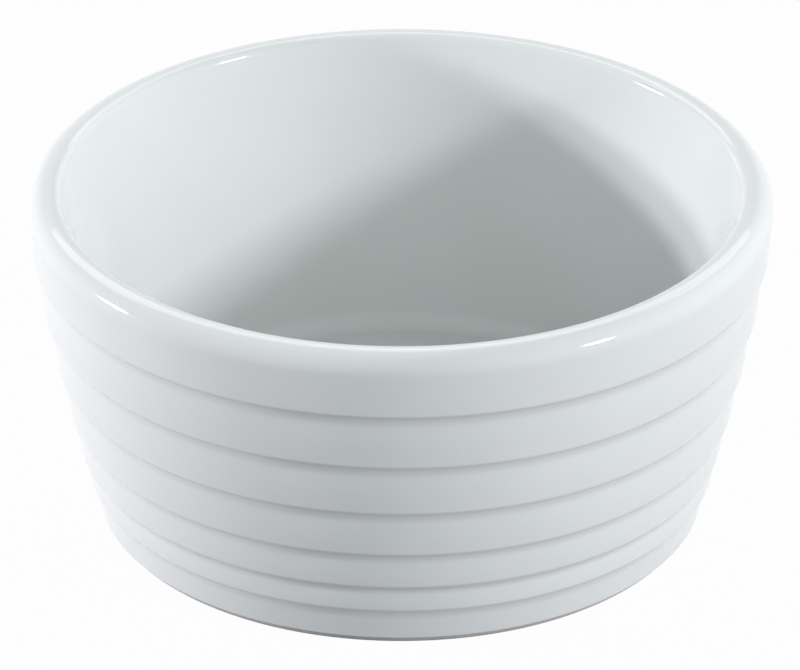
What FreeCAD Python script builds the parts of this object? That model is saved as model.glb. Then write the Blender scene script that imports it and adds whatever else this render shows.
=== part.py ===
"""A small glazed porcelain ramekin, as a parametric document.

The fired body is one revolved section with turned grooves round a tapered wall. Two coats of glaze lie
on it: one over the inside, the rim and the outside, and one in the recess under the base. The foot ring
between them is bare. Millimetres, +Z up, origin at the centre of the foot's resting plane.
"""

import FreeCAD, Part
import math
import operator
import os

import Sketcher

# Driving sizes in millimetres
SIZES = {
    "rim_radius": 44.9,  # corner of the rim's outside, before rounding
    "rim_round": 2.2,  # rounding of the rim's outside
    "rim_bevel": 0.45,  # bevel sponged on the body's inner rim edge
    "rim_edge_round": 1.1,  # rounding of the glaze over that edge
    "rim_wall": 3.3,  # thickness of the wall at the mouth
    "rim_overhang": 1.5,  # how far the first groove lies inside the rim
    "wall_taper": 6.3,  # how much the wall narrows from the first groove to the last
    "wall_bow": 0.4,  # outward bow of the wall half way down
    "base_band_height": 4.75,  # plain band below the last groove
    "band_6_height": 3.75,  # bands between the grooves, from the foot up
    "band_5_height": 5.05,
    "band_4_height": 6.35,
    "band_3_height": 6.9,
    "band_2_height": 7.4,
    "band_1_height": 8.8,  # the rim's own band, up to the top of the fired body
    "groove_reach": 0.9,  # how far a band's lower edge stands out over its groove
    "groove_rise": 1.1,  # height of that edge above the bottom of the groove
    "foot_setback": 0.65,  # how far the base corner lies inside the last groove
    "foot_ring_width": 3.7,  # from the base corner to the recess
    "base_round": 1.8,  # rounding of the outer bottom edge
    "recess_depth": 1.4,  # hollow under the base
    "floor_thickness": 5.5,  # from the hollow under the base to the floor
    "bowl_taper": 9.2,  # how much the inside narrows from mouth to floor
    "cove_round": 3.2,  # hollow rounding between wall and floor
    "well_margin": 5.6,  # from the inside's bottom corner to the edge of the floor's shallow well
    "well_run": 0.8,  # width of the well's sloping edge
    "well_depth": 0.25,
    "glaze_thickness": 0.3,
    "glaze_line_height": 1.3,  # where the outside coat ends above the bare foot
    "edge_softness": 0.6,  # how roundly the glaze runs over a band's lower edge
    "pool_round": 2.6,  # how roundly it pools in the groove below
}
GROOVES = 6

SUMS = {"+": operator.add, "-": operator.sub, "*": operator.mul, "/": operator.truediv}


class Size:
    """A length as a number and as the expression that ties a sketch to the sheet."""

    def __init__(self, text, value):
        self.text = text
        self.value = value

    def join(self, sign, other):
        if not isinstance(other, Size):
            other = Size(str(other), other)
        value = SUMS[sign](self.value, other.value)
        return Size(f"({self.text} {sign} {other.text})", value)

    def __add__(self, other):
        return self.join("+", other)

    def __sub__(self, other):
        return self.join("-", other)

    def __mul__(self, other):
        return self.join("*", other)

    def __truediv__(self, other):
        return self.join("/", other)

    def __rsub__(self, other):
        return Size(str(other), other) - self


class Corner:
    """A corner of a section: radius and height from the origin, and its rounding if it has one."""

    def __init__(self, radius, height, rounding=None):
        self.radius = radius
        self.height = height
        self.rounding = rounding
        self.place = FreeCAD.Vector(radius.value if radius else 0.0, height.value, 0)

    def on_axis(self):
        return self.radius is None


document = FreeCAD.newDocument("ramekin")

# Sheet of sizes
sheet = document.addObject("Spreadsheet::Sheet", "sizes")
for row, (name, value) in enumerate(SIZES.items(), start=1):
    sheet.set(f"A{row}", name)
    sheet.set(f"B{row}", str(value))
    sheet.setAlias(f"B{row}", name)
document.recompute()
size = {name: Size(f"sizes.{name}", value) for name, value in SIZES.items()}


def origin_plane(body, role):
    return next(plane for plane in body.Origin.OriginFeatures if plane.Role == role)


def tangent_length(before, corner, after):
    """Distance from a corner to where its rounding meets the two sides, and the way the path turns."""
    arriving = (corner.place - before.place).normalize()
    leaving = (after.place - corner.place).normalize()
    turn = math.atan2(arriving.x * leaving.y - arriving.y * leaving.x, arriving.dot(leaving))
    return corner.rounding.value * math.tan(abs(turn) / 2), arriving, leaving, turn


def add_rounding(sketch, corner, entry, arriving, turn):
    """Adds a corner's arc, and gives its index and which of its ends the path comes in and goes out by."""
    radius = corner.rounding.value
    side = math.copysign(1.0, turn)
    centre = entry + FreeCAD.Vector(-arriving.y, arriving.x, 0) * radius * side
    begin = math.atan2(entry.y - centre.y, entry.x - centre.x)
    span = (begin, begin + turn) if turn > 0 else (begin + turn, begin)
    circle = Part.Circle(centre, FreeCAD.Vector(0, 0, 1), radius)
    arc = sketch.addGeometry(Part.ArcOfCircle(circle, *span))
    return (arc, 1, 2) if turn > 0 else (arc, 2, 1)


def pin(sketch, corner, geometry, end):
    """Ties a point's radius and height to the sheet."""
    if corner.on_axis():
        sketch.addConstraint(Sketcher.Constraint("PointOnObject", geometry, end, -2))
    else:
        across = sketch.addConstraint(
            Sketcher.Constraint("DistanceX", -1, 1, geometry, end, corner.radius.value)
        )
        sketch.setExpression(f"Constraints[{across}]", corner.radius.text)
    if corner.height.value == 0:
        sketch.addConstraint(Sketcher.Constraint("PointOnObject", geometry, end, -1))
    else:
        up = sketch.addConstraint(
            Sketcher.Constraint("DistanceY", -1, 1, geometry, end, corner.height.value)
        )
        sketch.setExpression(f"Constraints[{up}]", corner.height.text)


def draw_section(body, name, corners):
    """Draws a closed section through the corners, rounded where they ask for it, with each size tied."""
    sketch = body.newObject("Sketcher::SketchObject", name)
    sketch.AttachmentSupport = [(origin_plane(body, "XZ_Plane"), "")]
    sketch.MapMode = "FlatFace"
    count = len(corners)
    entries, exits, bends = [], [], []
    for index, corner in enumerate(corners):
        bend = None
        entry = leave = corner.place
        if corner.rounding:
            reach, arriving, leaving, turn = tangent_length(
                corners[index - 1], corner, corners[(index + 1) % count]
            )
            entry = corner.place - arriving * reach
            leave = corner.place + leaving * reach
            bend = (arriving, turn)
        entries.append(entry)
        exits.append(leave)
        bends.append(bend)
    lines = [
        sketch.addGeometry(Part.LineSegment(exits[index], entries[(index + 1) % count]))
        for index in range(count)
    ]
    for index, corner in enumerate(corners):
        before, after = lines[index - 1], lines[index]
        if not corner.rounding:
            sketch.addConstraint(Sketcher.Constraint("Coincident", before, 2, after, 1))
            pin(sketch, corner, after, 1)
            continue
        arc, way_in, way_out = add_rounding(sketch, corner, entries[index], *bends[index])
        sketch.addConstraint(Sketcher.Constraint("Tangent", before, 2, arc, way_in))
        sketch.addConstraint(Sketcher.Constraint("Tangent", arc, way_out, after, 1))
        bend = sketch.addConstraint(Sketcher.Constraint("Radius", arc, corner.rounding.value))
        sketch.setExpression(f"Constraints[{bend}]", corner.rounding.text)
        sharp = sketch.addGeometry(Part.Point(corner.place), True)
        for line in (before, after):
            sketch.addConstraint(Sketcher.Constraint("PointOnObject", sharp, 1, line))
        pin(sketch, corner, sharp, 1)
    return sketch


def turned_body(name, corners):
    """A solid of revolution about the vertical axis."""
    body = document.addObject("PartDesign::Body", name)
    body.Label = name
    sketch = draw_section(body, f"{name}_section", corners)
    revolution = body.newObject("PartDesign::Revolution", f"{name}_turned")
    revolution.Profile = (sketch, [""])
    revolution.ReferenceAxis = (sketch, ["V_Axis"])
    revolution.Angle = 360
    return body


def laid_on(name, form, carrier):
    """A coat: what a form holds outside the body that carries it."""
    coat = document.addObject("Part::Cut", name)
    coat.Label = name
    coat.Base = form
    coat.Tool = carrier
    return coat


# Heights of the grooves, from the last one above the foot to the first one under the rim
groove_heights = [size["base_band_height"]]
for band in range(GROOVES, 1, -1):
    groove_heights.append(groove_heights[-1] + size[f"band_{band}_height"])

# Places that the body and its coats share
nothing = Size("0", 0.0)
glaze = size["glaze_thickness"]
first_groove_radius = size["rim_radius"] - size["rim_overhang"]
last_groove_radius = first_groove_radius - size["wall_taper"]
base_radius = last_groove_radius - size["foot_setback"]
recess_radius = base_radius - size["foot_ring_width"]
rim_height = groove_heights[-1] + size["band_1_height"]
mouth_radius = size["rim_radius"] - size["rim_wall"]
floor_radius = mouth_radius - size["bowl_taper"]
floor_height = size["recess_depth"] + size["floor_thickness"]
well_radius = floor_radius - size["well_margin"]

# Radii of the grooves, on a line that bows outwards
groove_radii = []
for height in groove_heights:
    share = (height - groove_heights[0]) / (groove_heights[-1] - groove_heights[0])
    bow = size["wall_bow"] * share * (1 - share) * 4
    groove_radii.append(last_groove_radius + size["wall_taper"] * share + bow)


def banded_wall(coat, softness=None, pool=None):
    """Corners of the outside from the last groove up to the rim: each groove, and the edge over it."""
    corners = []
    for radius, height in zip(groove_radii, groove_heights):
        corners.append(Corner(radius + coat, height, pool))
        edge_radius = radius + size["groove_reach"] + coat
        corners.append(Corner(edge_radius, height + size["groove_rise"], softness))
    return corners


def rim(coat):
    """Corner of the rim's outside."""
    return Corner(size["rim_radius"] + coat, rim_height + coat, size["rim_round"] + coat)


def inside(coat):
    """Corners of the inside from the foot of its wall over the floor to the axis."""
    well_floor = floor_height - size["well_depth"] + coat
    return [
        Corner(floor_radius - coat, floor_height + coat, size["cove_round"] - coat),
        Corner(well_radius, floor_height + coat),
        Corner(well_radius - size["well_run"], well_floor),
        Corner(None, well_floor),
    ]


# Fired body: recess and foot ring, banded wall, rim, inside and floor in one section
porcelain = turned_body(
    "porcelain_body",
    [
        Corner(None, size["recess_depth"]),
        Corner(recess_radius, size["recess_depth"]),
        Corner(recess_radius, nothing),
        Corner(base_radius, nothing, size["base_round"]),
        *banded_wall(nothing),
        rim(nothing),
        Corner(mouth_radius + size["rim_bevel"], rim_height),
        Corner(mouth_radius, rim_height - size["rim_bevel"]),
        *inside(nothing),
    ],
)

# Glaze over the outside, rim and inside: its own outer form, with the body taken out of it. The form's
# core ends anywhere inside the body.
core_radius = base_radius - size["foot_ring_width"] / 2
core_height = size["recess_depth"] + size["floor_thickness"] / 2
line_share = size["glaze_line_height"] / size["base_band_height"]
line_radius = base_radius + size["foot_setback"] * line_share + glaze
coat_form = turned_body(
    "coat_form",
    [
        Corner(None, core_height),
        Corner(core_radius, core_height),
        Corner(core_radius, size["glaze_line_height"]),
        Corner(line_radius, size["glaze_line_height"]),
        *banded_wall(glaze, size["edge_softness"], size["pool_round"]),
        rim(glaze),
        Corner(mouth_radius - glaze, rim_height + glaze, size["rim_edge_round"]),
        *inside(glaze),
    ],
)
glaze_coat = laid_on("glaze_coat", coat_form, porcelain)

# Glaze in the recess under the base, inside the bare foot ring
underside_form = turned_body(
    "underside_form",
    [
        Corner(None, size["recess_depth"] - glaze),
        Corner(core_radius, size["recess_depth"] - glaze),
        Corner(core_radius, core_height),
        Corner(None, core_height),
    ],
)
underside_glaze = laid_on("underside_glaze", underside_form, porcelain)

document.recompute()

# Every object must have come out sound before anything is written
for item in document.Objects:
    if "Invalid" in item.State or "Error" in item.State:
        raise RuntimeError(f"{item.Label} failed: {item.State}")
pieces = [porcelain, glaze_coat, underside_glaze]
for piece in pieces:
    shape = piece.Shape
    if shape.isNull() or not shape.isValid() or len(shape.Solids) != 1:
        raise RuntimeError(f"{piece.Label} is not one sound solid")

os.makedirs("parts", exist_ok=True)
for piece in pieces:
    piece.Shape.exportStep(f"parts/{piece.Label}.step")
    box = piece.Shape.optimalBoundingBox(False)
    print(
        f"{piece.Label}: {piece.Shape.Volume:.1f} mm3, {len(piece.Shape.Faces)} faces, "
        f"across {box.XLength:.2f} mm, from {box.ZMin:.2f} to {box.ZMax:.2f} mm"
    )
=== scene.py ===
# %% [markdown]
# # A glazed porcelain ramekin
#
# A ramekin is a small oven dish for one portion. It is pressed and turned from porcelain, fired, dipped
# in clear glaze and fired again. The foot ring is wiped before that second firing, so that the dish
# doesn't melt onto the kiln shelf, and it stays bare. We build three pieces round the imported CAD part:
# the fired body, the coat of glaze over it, and the glaze in the hollow under its base.

import math
from typing import NamedTuple

import bpy
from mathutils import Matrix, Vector


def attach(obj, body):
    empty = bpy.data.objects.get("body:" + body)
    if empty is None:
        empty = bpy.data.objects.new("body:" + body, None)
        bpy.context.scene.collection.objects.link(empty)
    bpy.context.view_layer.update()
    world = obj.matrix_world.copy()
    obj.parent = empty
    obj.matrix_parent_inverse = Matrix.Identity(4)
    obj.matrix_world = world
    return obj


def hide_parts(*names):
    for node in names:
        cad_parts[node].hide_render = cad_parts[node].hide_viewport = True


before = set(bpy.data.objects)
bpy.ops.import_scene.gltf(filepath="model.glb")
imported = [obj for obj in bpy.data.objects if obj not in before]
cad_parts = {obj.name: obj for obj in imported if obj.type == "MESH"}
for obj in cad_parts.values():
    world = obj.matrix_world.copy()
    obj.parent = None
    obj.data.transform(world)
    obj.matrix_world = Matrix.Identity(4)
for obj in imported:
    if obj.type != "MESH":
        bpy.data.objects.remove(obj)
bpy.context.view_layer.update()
MM = 0.001
print("nodes in the frame:", ", ".join(sorted(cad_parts)))

# %% [markdown]
# ## Sizes of the dish
#
# Everything round on the dish is turned about one axis, so each piece is fully told by half a section:
# a list of corners, each with its distance from the axis, its height and how much it is rounded. The
# sizes are those of the CAD part, in millimetres here and in metres from then on.

# %% Driving sizes
RIM_RADIUS = 44.9 * MM
RIM_ROUND = 2.2 * MM
RIM_BEVEL = 0.45 * MM
RIM_EDGE_ROUND = 1.1 * MM
RIM_WALL = 3.3 * MM
RIM_OVERHANG = 1.5 * MM
WALL_TAPER = 6.3 * MM
WALL_BOW = 0.4 * MM
BANDS = [height * MM for height in (4.75, 3.75, 5.05, 6.35, 6.9, 7.4, 8.8)]
GROOVE_REACH = 0.9 * MM
GROOVE_RISE = 1.1 * MM
FOOT_SETBACK = 0.65 * MM
FOOT_RING_WIDTH = 3.7 * MM
BASE_ROUND = 1.8 * MM
RECESS_DEPTH = 1.4 * MM
FLOOR_THICKNESS = 5.5 * MM
BOWL_TAPER = 9.2 * MM
COVE_ROUND = 3.2 * MM
WELL_MARGIN = 5.6 * MM
WELL_RUN = 0.8 * MM
WELL_DEPTH = 0.25 * MM
GLAZE = 0.3 * MM
GLAZE_LINE = 1.3 * MM
EDGE_SOFTNESS = 0.6 * MM
POOL_ROUND = 2.6 * MM

# %% Places that follow from the sizes
groove_heights = [sum(BANDS[: count + 1]) for count in range(len(BANDS) - 1)]
rim_height = sum(BANDS)
first_groove_radius = RIM_RADIUS - RIM_OVERHANG
last_groove_radius = first_groove_radius - WALL_TAPER
base_radius = last_groove_radius - FOOT_SETBACK
recess_radius = base_radius - FOOT_RING_WIDTH
mouth_radius = RIM_RADIUS - RIM_WALL
floor_radius = mouth_radius - BOWL_TAPER
floor_height = RECESS_DEPTH + FLOOR_THICKNESS
well_radius = floor_radius - WELL_MARGIN
print(f"{2 * RIM_RADIUS / MM:.1f} mm across and {rim_height / MM:.1f} mm high")
print("grooves at", [round(height / MM, 1) for height in groove_heights], "mm")

# %% [markdown]
# ## The section of the body and of its glaze
#
# The outside is a stack of bands. Each band leans outwards as it rises, and its lower edge stands a
# little proud of the band below, so a crisp line of shade runs round the dish under it. Glaze is liquid
# when it melts: it thins over an edge and pools in a groove, so the same corners are sharp on the body
# and rounded on its coat. Below the rim band the coat also swells a little in the middle of each band.
# One function makes the wall for both, and a list of corners is all that the sweep needs later.

# %% Corners of a section
BEAD_ROUND = 0.14 * MM
FOOT_EDGE_ROUND = 0.5 * MM
BAND_SWELL = 0.025
SWELL_ROUND = 30 * MM
WELL_ROUND = 1.2 * MM


class Corner(NamedTuple):
    """A corner of a half section: how far from the axis, how high, and how much it is rounded."""

    radius: float
    height: float
    rounding: float = 0.0


def swollen_middle(below, above, swell):
    """A corner halfway up a band, standing out by a share of the band's height."""
    across = (below.radius + above.radius) / 2 + swell * (above.height - below.height)
    return Corner(across, (below.height + above.height) / 2, SWELL_ROUND)


def banded_wall(coat, softness=0.0, pool=0.0, swell=0.0):
    """Corners of the outside from the lowest groove up to the rim: each groove, and the edge over it."""
    corners = []
    for height in groove_heights:
        share = (height - groove_heights[0]) / (groove_heights[-1] - groove_heights[0])
        bow = 4 * WALL_BOW * share * (1 - share)
        radius = last_groove_radius + WALL_TAPER * share + bow + coat
        corners.append(Corner(radius, height, pool))
        corners.append(Corner(radius + GROOVE_REACH, height + GROOVE_RISE, softness))
    corners.append(Corner(RIM_RADIUS + coat, rim_height + coat, RIM_ROUND + coat))
    if swell:
        edges_and_grooves = zip(corners[1:-2:2], corners[2:-2:2])
        corners += [swollen_middle(edge, groove, swell) for edge, groove in edges_and_grooves]
        corners.sort(key=lambda corner: corner.height)
    return corners


def inside(coat, well_round=0.0):
    """Corners of the inside, from the foot of its wall over the floor to the axis."""
    well_floor = floor_height - WELL_DEPTH + coat
    return [
        Corner(floor_radius - coat, floor_height + coat, COVE_ROUND - coat),
        Corner(well_radius, floor_height + coat, well_round),
        Corner(well_radius - WELL_RUN, well_floor, well_round),
        Corner(0.0, well_floor),
    ]


def wall_radius_at(height):
    """Distance of the body's lowest band from the axis."""
    return base_radius + FOOT_SETBACK * height / BANDS[0]


body_above_line = [
    Corner(wall_radius_at(GLAZE_LINE), GLAZE_LINE),
    *banded_wall(0.0),
    Corner(mouth_radius + RIM_BEVEL, rim_height),
    Corner(mouth_radius, rim_height - RIM_BEVEL),
    *inside(0.0),
]
body_section = [
    Corner(0.0, RECESS_DEPTH),
    Corner(recess_radius, RECESS_DEPTH),
    Corner(recess_radius, 0.0, FOOT_EDGE_ROUND),
    Corner(base_radius, 0.0, BASE_ROUND),
    *body_above_line[1:],
]
coat_section = [
    *reversed(body_above_line),
    Corner(wall_radius_at(GLAZE_LINE) + GLAZE, GLAZE_LINE, BEAD_ROUND),
    *banded_wall(GLAZE, EDGE_SOFTNESS, POOL_ROUND, BAND_SWELL),
    Corner(mouth_radius - GLAZE, rim_height + GLAZE, RIM_EDGE_ROUND),
    *inside(GLAZE, WELL_ROUND),
]
underside_section = [
    Corner(0.0, RECESS_DEPTH - GLAZE),
    Corner(recess_radius, RECESS_DEPTH - GLAZE),
    Corner(recess_radius, RECESS_DEPTH),
    Corner(0.0, RECESS_DEPTH),
]
for title, section in (("body", body_section), ("coat", coat_section), ("underside", underside_section)):
    print(title, "section:", len(section), "corners")

# %% [markdown]
# ## Wires between nodes
#
# Both the shapes and the finishes are made of nodes. A small class keeps that readable: it wraps one
# socket, so that a sum written in Python adds the Math nodes for it, and one method adds any other node
# from its type, its settings and what goes into its sockets.

# %% A socket that can be used in sums
class Wire:
    """One output socket of a node tree."""

    def __init__(self, socket):
        self.socket = socket

    def node(self, kind, settings=None, values=None, output=0):
        """Adds a node to this wire's tree and gives one of its outputs."""
        made = self.socket.id_data.nodes.new(kind)
        for name, setting in (settings or {}).items():
            setattr(made, name, setting)
        for name, value in (values or {}).items():
            plug(made.inputs[name], value)
        return Wire(made.outputs[output])

    def math(self, operation, *others):
        """A Math node of this wire and the others."""
        return self.node("ShaderNodeMath", {"operation": operation}, dict(enumerate([self, *others])))

    def __add__(self, other):
        return self.math("ADD", other)

    def __sub__(self, other):
        return self.math("SUBTRACT", other)

    def __rsub__(self, other):
        return self.node("ShaderNodeMath", {"operation": "SUBTRACT"}, {0: other, 1: self})

    def __mul__(self, other):
        return self.math("MULTIPLY", other)

    __radd__ = __add__
    __rmul__ = __mul__


def plug(socket, value):
    """Links a wire to an input, or sets the input's own value."""
    if isinstance(value, Wire):
        socket.id_data.links.new(value.socket, socket)
    else:
        socket.default_value = value


# %% [markdown]
# ## Turning a section into a piece
#
# A potter turns the dish, and so do we. Geometry Nodes take the half section as a line of points, round
# each corner by the amount stored on it, and sweep the rounded line round a small circle on the axis.
# Points that meet on the axis are merged, which closes the piece there. A lathe-like Screw modifier could
# do the sweep too, but the tree also rounds the corners and adds the slight unevenness of a fired pot,
# and its inputs can be changed on each piece.

# %% The turning tree
SWEEP_RADIUS = 1 * MM
MERGE_DISTANCE = 0.001 * MM
UNEVEN_WIDTH = 30 * MM
TREE_INPUTS = {"Sides": "Int", "Steps": "Int", "Unevenness": "Float", "Seed": "Float", "Finish": "Material"}


def turning_tree():
    """Builds the tree that turns a section, with its sizes as named inputs."""
    tree = bpy.data.node_groups.new("turned_piece", "GeometryNodeTree")
    tree.interface.new_socket("Section", in_out="INPUT", socket_type="NodeSocketGeometry")
    for name, kind in TREE_INPUTS.items():
        tree.interface.new_socket(name, in_out="INPUT", socket_type=f"NodeSocket{kind}")
    tree.interface.new_socket("Piece", in_out="OUTPUT", socket_type="NodeSocketGeometry")
    given = {socket.name: Wire(socket) for socket in tree.nodes.new("NodeGroupInput").outputs}
    start = given["Section"]
    rounding = start.node("GeometryNodeInputNamedAttribute", {"data_type": "FLOAT"}, {"Name": "rounding"})
    line = start.node("GeometryNodeMeshToCurve", None, {"Mesh": start})
    line = start.node(
        "GeometryNodeFilletCurve",
        {"mode": "POLY"},
        {"Curve": line, "Count": given["Steps"], "Radius": rounding, "Limit Radius": True},
    )
    ring = {"Resolution": given["Sides"], "Radius": SWEEP_RADIUS}
    circle = start.node("GeometryNodeCurvePrimitiveCircle", None, ring)
    circle = start.node("GeometryNodeSetCurveNormal", {"mode": "Z_UP"}, {"Curve": circle})
    skin = start.node("GeometryNodeCurveToMesh", None, {"Curve": circle, "Profile Curve": line})
    skin = start.node("GeometryNodeMergeByDistance", None, {"Geometry": skin, "Distance": MERGE_DISTANCE})
    place = start.node("GeometryNodeInputPosition")
    waves = start.node(
        "ShaderNodeTexNoise",
        {"noise_dimensions": "4D"},
        {"Vector": place, "W": given["Seed"], "Scale": 1 / UNEVEN_WIDTH, "Detail": 1.0},
    )
    inwards = start.node(
        "ShaderNodeVectorMath",
        {"operation": "SCALE"},
        {0: start.node("GeometryNodeInputNormal"), "Scale": waves * given["Unevenness"] * -1.0},
    )
    skin = start.node("GeometryNodeSetPosition", None, {"Geometry": skin, "Offset": inwards})
    skin = start.node("GeometryNodeSetShadeSmooth", None, {"Geometry": skin})
    skin = start.node("GeometryNodeRealizeInstances", None, {"Geometry": skin})
    skin = start.node("GeometryNodeSetMaterial", None, {"Geometry": skin, "Material": given["Finish"]})
    plug(tree.nodes.new("NodeGroupOutput").inputs["Piece"], skin)
    return tree


turned_piece = turning_tree()
print("turning tree:", len(turned_piece.nodes), "nodes")

# %% One turned piece
def section_mesh(name, corners):
    """A line of points for the sweep, which lays X away from its circle and Y downwards."""
    mesh = bpy.data.meshes.new(name)
    corners = corners[::-1]
    points = [(corner.radius - SWEEP_RADIUS, -corner.height, 0.0) for corner in corners]
    mesh.from_pydata(points, [(end - 1, end) for end in range(1, len(points))], [])
    rounding = mesh.attributes.new("rounding", "FLOAT", "POINT")
    rounding.data.foreach_set("value", [corner.rounding for corner in corners])
    return mesh


def turn(name, corners, finish, sides, steps, unevenness, seed):
    """Turns a section into a plain closed mesh at the origin."""
    draft = bpy.data.objects.new(name, section_mesh(f"{name}_section", corners))
    bpy.context.scene.collection.objects.link(draft)
    turning = draft.modifiers.new("turning", "NODES")
    turning.node_group = turned_piece
    values = {"Sides": sides, "Steps": steps, "Unevenness": unevenness, "Seed": seed, "Finish": finish}
    for item in turned_piece.interface.items_tree:
        if item.name in values:
            turning[item.identifier] = values[item.name]
    evaluated = draft.evaluated_get(bpy.context.evaluated_depsgraph_get())
    finished = bpy.data.meshes.new_from_object(evaluated)
    draft.modifiers.remove(turning)
    draft.data = finished
    return draft


# %% [markdown]
# ## Glaze
#
# Clear glaze over white porcelain is glossy, but no pot is perfect: its white goes over into cream in
# soft clouds, the gloss is a touch softer in places, and the surface ripples a little like still water.
# Colour, gloss and ripple each come from noise at the scale that the real thing has. The noise is laid
# out by the place on the piece, so it stays put when the dish is moved.

# %% Helpers for finishes
def noise(at, width, detail=2.0):
    """Soft noise whose blots are about as wide as given, from 0 to 1."""
    return at.node("ShaderNodeTexNoise", None, {"Vector": at, "Scale": 1 / width, "Detail": detail})


def ramp(value, start, end):
    """0 below start, 1 above end, and even between them."""
    return value.node(
        "ShaderNodeMapRange", {"clamp": True}, {"Value": value, "From Min": start, "From Max": end}
    )


def blend(share, first, second):
    """One colour going over into another."""
    colours = {6: (*first, 1) if isinstance(first, tuple) else first, 7: (*second, 1)}
    return share.node("ShaderNodeMix", {"data_type": "RGBA"}, {0: share, **colours}, output=2)


def new_finish(name):
    """An empty material: its shader, and the place on the piece that patterns are laid out by."""
    finish = bpy.data.materials.new(name)
    finish.use_nodes = True
    nodes = finish.node_tree.nodes
    return finish, nodes["Principled BSDF"], Wire(nodes.new("ShaderNodeTexCoord").outputs["Object"])


# %% The glaze
GLAZE_WHITE = (0.735, 0.765, 0.755)
GLAZE_CREAM = (0.72, 0.75, 0.735)
GLAZE_IOR = 1.5
GLAZE_ROUGHNESS = 0.05
GLOSS_SPREAD = 0.05
CLOUD_WIDTH = 18 * MM
GLOSS_WIDTH = 9 * MM
RIPPLE_WIDTH = 7 * MM
RIPPLE_HEIGHT = 0.03 * MM
DIMPLE_WIDTH = 0.9 * MM
DIMPLE_SHARE = 0.12


def bumps(at, height, pattern):
    """The surface's own small relief, from a pattern between 0 and 1."""
    return at.node("ShaderNodeBump", None, {"Strength": 1.0, "Distance": height, "Height": pattern})


def glaze_finish():
    """Clear glass over white clay."""
    finish, shader, at = new_finish("glaze")
    clouds = ramp(noise(at, CLOUD_WIDTH), 0.35, 0.65)
    plug(shader.inputs["Base Color"], blend(clouds, GLAZE_WHITE, GLAZE_CREAM))
    plug(shader.inputs["Roughness"], GLAZE_ROUGHNESS + GLOSS_SPREAD * noise(at, GLOSS_WIDTH))
    shader.inputs["IOR"].default_value = GLAZE_IOR
    ripple = noise(at, RIPPLE_WIDTH, 1.0) + DIMPLE_SHARE * noise(at, DIMPLE_WIDTH)
    plug(shader.inputs["Normal"], bumps(at, RIPPLE_HEIGHT, ripple))
    return finish


glaze = glaze_finish()
print("glaze:", len(glaze.node_tree.nodes), "nodes")

# %% [markdown]
# ## Bare porcelain
#
# Where no glaze lies, fired porcelain is quite matt and finely grained, like very smooth stone. The bare
# ring that the dish stands on is warm grey, and that grey is painted shade for the shadow at its foot.
# It is greyer still in blots, and a ramp over the height keeps those blots on its lowest edge.

# %% The bare body
# Painted shade: these two greys darken the bare ring for the shadow at the foot of the dish; fired porcelain
# itself is white.
BISCUIT_SHADED_GREY = (0.62, 0.605, 0.585)
BISCUIT_SHADED_WARM = (0.56, 0.54, 0.515)
# Darker in blots at the lowest edge of the ring.
LOWEST_EDGE_GREY = (0.45, 0.44, 0.43)
LOWEST_EDGE_SHARE = 0.6
LOWEST_EDGE_HEIGHT = 0.3 * MM
LOWEST_EDGE_BLOT_WIDTH = 2.5 * MM
BLOT_WIDTH = 6 * MM
BISCUIT_ROUGHNESS = 0.62
SHEEN_SPREAD = 0.2
SHEEN_WIDTH = 0.6 * MM
GRAIN_WIDTH = 0.35 * MM
GRAIN_HEIGHT = 0.02 * MM


def biscuit_finish():
    """Bare fired clay, greyed with painted shade, and darker in blots at its lowest edge."""
    finish, shader, at = new_finish("biscuit")
    # Painted shade: the grey of the bare ring stands for the shadow at the foot of the dish.
    shaded_tint = blend(ramp(noise(at, BLOT_WIDTH), 0.3, 0.7), BISCUIT_SHADED_GREY, BISCUIT_SHADED_WARM)
    height = at.node("ShaderNodeSeparateXYZ", None, {"Vector": at}, output="Z")
    # Darker in blots within the lowest edge of the ring, by a ramp over the height.
    lowest_edge_blots = (1 - ramp(height, 0.0, LOWEST_EDGE_HEIGHT)) * ramp(noise(at, LOWEST_EDGE_BLOT_WIDTH, 4.0), 0.45, 0.7)
    plug(shader.inputs["Base Color"], blend(lowest_edge_blots * LOWEST_EDGE_SHARE, shaded_tint, LOWEST_EDGE_GREY))
    plug(shader.inputs["Roughness"], BISCUIT_ROUGHNESS + SHEEN_SPREAD * noise(at, SHEEN_WIDTH))
    plug(shader.inputs["Normal"], bumps(at, GRAIN_HEIGHT, noise(at, GRAIN_WIDTH, 3.0)))
    return finish


biscuit = biscuit_finish()
print("biscuit:", len(biscuit.node_tree.nodes), "nodes")

# %% [markdown]
# ## The three pieces
#
# Now each section is turned and gets its finish. The body is turned true, because its visible part is
# only the ring that it stands on. The coat is the piece that we look at, so it has the most sides and a
# trace of unevenness, drawn inwards so that the dish keeps its size.

# %% Turn the three pieces
UNEVENNESS = 0.03 * MM

body = turn("body", body_section, biscuit, sides=240, steps=10, unevenness=0.0, seed=0.0)
coat = turn("coat", coat_section, glaze, sides=320, steps=10, unevenness=UNEVENNESS, seed=3.0)
underside = turn("underside", underside_section, glaze, sides=160, steps=6, unevenness=0.0, seed=5.0)
for piece, node, slot in (
    (body, "porcelain_body", "porcelain"),
    (coat, "glaze_coat", "glaze"),
    (underside, "underside_glaze", "glaze"),
):
    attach(piece, "root")
    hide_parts(node)
    piece.data.calc_loop_triangles()
    print(piece.name, "replaces", node, "with", len(piece.data.loop_triangles), "triangles")

# %% [markdown]
# ## The table
#
# The dish stands on a pale table that runs out of the picture. To the eye it is as bright as paper, and
# so it is in a reflection. To the light it is grey, because a white table would throw so much light
# upwards that the shade under each band would vanish. The Light Path node tells the two apart. A trace of
# the table's own shading stays in what the eye sees, and with it the shadow of the dish.

# %% The table
TABLE_SIZE = 6.0
TABLE_PALE = (0.28, 0.285, 0.305)
TABLE_SHADE = (0.272, 0.277, 0.296)
TABLE_CLOUD_WIDTH = 400 * MM
TABLE_ROUGHNESS = 0.8
PAPER_SHARE = 0.98


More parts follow.
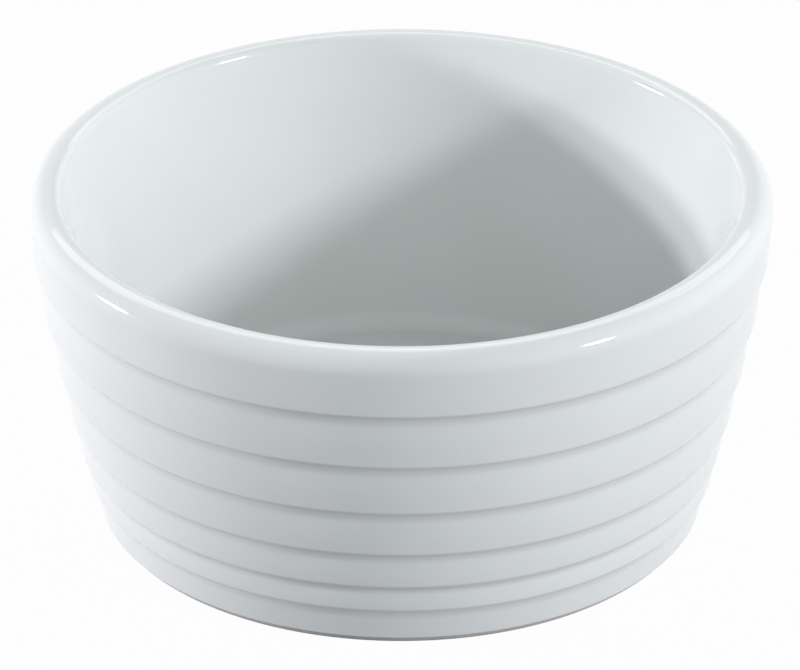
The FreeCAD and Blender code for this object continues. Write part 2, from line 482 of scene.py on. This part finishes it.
def seen_directly(at):
    """1 for what the camera sees straight, in a reflection or through glass, and 0 for light."""
    kinds = ("Is Camera Ray", "Is Glossy Ray", "Is Transmission Ray")
    straight, mirrored, through = (at.node("ShaderNodeLightPath", output=kind) for kind in kinds)
    return straight.math("MAXIMUM", mirrored).math("MAXIMUM", through)


def table_finish():
    """Paper to the eye, grey to the light."""
    finish, shader, at = new_finish("table")
    plug(shader.inputs["Base Color"], blend(noise(at, TABLE_CLOUD_WIDTH), TABLE_PALE, TABLE_SHADE))
    shader.inputs["Roughness"].default_value = TABLE_ROUGHNESS
    paper = at.node("ShaderNodeEmission", None, {"Strength": 1.0})
    shares = {0: seen_directly(at) * PAPER_SHARE, 1: Wire(shader.outputs[0]), 2: paper}
    output = finish.node_tree.nodes["Material Output"]
    plug(output.inputs["Surface"], at.node("ShaderNodeMixShader", None, shares))
    return finish


half = TABLE_SIZE / 2
table_corners = [(-half, -half, 0), (half, -half, 0), (half, half, 0), (-half, half, 0)]
table_mesh = bpy.data.meshes.new("table")
table_mesh.from_pydata(table_corners, [], [(0, 1, 2, 3)])
table_mesh.materials.append(table_finish())
table = bpy.data.objects.new("table", table_mesh)
bpy.context.scene.collection.objects.link(table)
print(f"table: {TABLE_SIZE} m on each side")

# %% [markdown]
# ## Lamps
#
# Two lamps light the dish from its sides, both low. Their light falls over the rim onto the far side of
# the bowl, and the shadow between those two patches gives the bowl its depth. The left lamp is a pair of
# tubes, and the rim mirrors both lamps as short streaks. A wide, weak lamp behind keeps the rim apart
# from the bowl. A lamp is placed by the angle that it is seen at from the dish, and its power follows
# from its size, so that a change of size keeps it as bright to look at.

# %% Lamps
LAMP_COLOUR = (1.0, 0.955, 1.02)
LAMP_DISTANCE = 0.8
middle = Vector((0, 0, rim_height / 2))


def lamp(name, azimuth, elevation, width, height, brightness):
    """A lamp facing the dish. Its angles are in degrees, the azimuth from the camera's side to the right."""
    light = bpy.data.lights.new(name, "AREA")
    light.shape = "RECTANGLE"
    light.size = width
    light.size_y = height
    light.color = LAMP_COLOUR
    light.energy = brightness * math.pi * width * height
    turned = math.radians(azimuth)
    raised = math.radians(elevation)
    level = math.cos(raised)
    away = Vector((math.sin(turned) * level, -math.cos(turned) * level, math.sin(raised)))
    holder = bpy.data.objects.new(name, light)
    holder.location = middle + away * LAMP_DISTANCE
    holder.rotation_euler = away.to_track_quat("Z", "Y").to_euler()
    bpy.context.scene.collection.objects.link(holder)
    print(f"{name}: {light.energy:.2f} W")


lamp("lamp_left_upper", azimuth=-92, elevation=13.8, width=0.14, height=0.032, brightness=177.0)
lamp("lamp_left_lower", azimuth=-92, elevation=10.2, width=0.14, height=0.032, brightness=177.0)
lamp("lamp_right", azimuth=60, elevation=21, width=0.11, height=0.09, brightness=96.0)
lamp("lamp_back", azimuth=180, elevation=45, width=0.92, height=0.34, brightness=1.8)

# %% [markdown]
# ## The room
#
# The rest of the light comes softly from the room, most of it from a pale wall on the right. Each side
# shines strongest straight ahead and fades away to nothing at a right angle, which is what a dot product
# with its direction gives. The eye, and every reflection, sees plain white instead.

# %% The room
ROOM_COLOUR = (0.925, 0.985, 0.985, 1)
PLAIN_WHITE = (1, 1, 1, 1)
SIDES = {(1, 0, 0): 1.18, (-1, 0, 0): 0.49, (0, 1, 0): 0.46, (0, -1, 0): 0.355, (0, 0, 1): 0.03}

world = bpy.data.worlds.new("room")
bpy.context.scene.world = world
world.use_nodes = True
world_nodes = world.node_tree.nodes
view = Wire(world_nodes.new("ShaderNodeTexCoord").outputs["Generated"])
shine = 0.0
for side, brightness in SIDES.items():
    against = {0: view, 1: side}
    facing = view.node("ShaderNodeVectorMath", {"operation": "DOT_PRODUCT"}, against, output="Value")
    shine = shine + facing.math("MAXIMUM", 0.0) * brightness
soft = view.node("ShaderNodeBackground", None, {"Color": ROOM_COLOUR, "Strength": shine})
white = view.node("ShaderNodeBackground", None, {"Color": PLAIN_WHITE, "Strength": 1.0})
shares = {0: seen_directly(view), 1: soft, 2: white}
plug(world_nodes["World Output"].inputs["Surface"], view.node("ShaderNodeMixShader", None, shares))
print("room:", len(world_nodes), "nodes")

# %% [markdown]
# ## Camera
#
# The photograph is taken from a little above, through a long lens, so the near and the far rim look
# almost the same size. The camera stands straight in front of the dish, which is round and has no front
# of its own, and looks at the middle of its height.

# %% Camera
CAMERA_DISTANCE = 0.9753
CAMERA_RISE = 27.86
CAMERA_LENS = 360.0
SENSOR_WIDTH = 36.0
NEAREST_SEEN = 0.01
AIM = Vector((-0.12, 0, 22.62)) * MM

camera = bpy.data.cameras.new("camera")
camera.sensor_width = SENSOR_WIDTH
camera.lens = CAMERA_LENS
camera.clip_start = NEAREST_SEEN
viewer = bpy.data.objects.new("camera", camera)
rise = math.radians(CAMERA_RISE)
back = Vector((0, -math.cos(rise), math.sin(rise)))
viewer.location = AIM + back * CAMERA_DISTANCE
viewer.rotation_euler = back.to_track_quat("Z", "Y").to_euler()
bpy.context.scene.collection.objects.link(viewer)
bpy.context.scene.camera = viewer
print("camera at", [round(part, 3) for part in viewer.location], "m")

bpy.context.scene.view_settings.view_transform = "Standard"
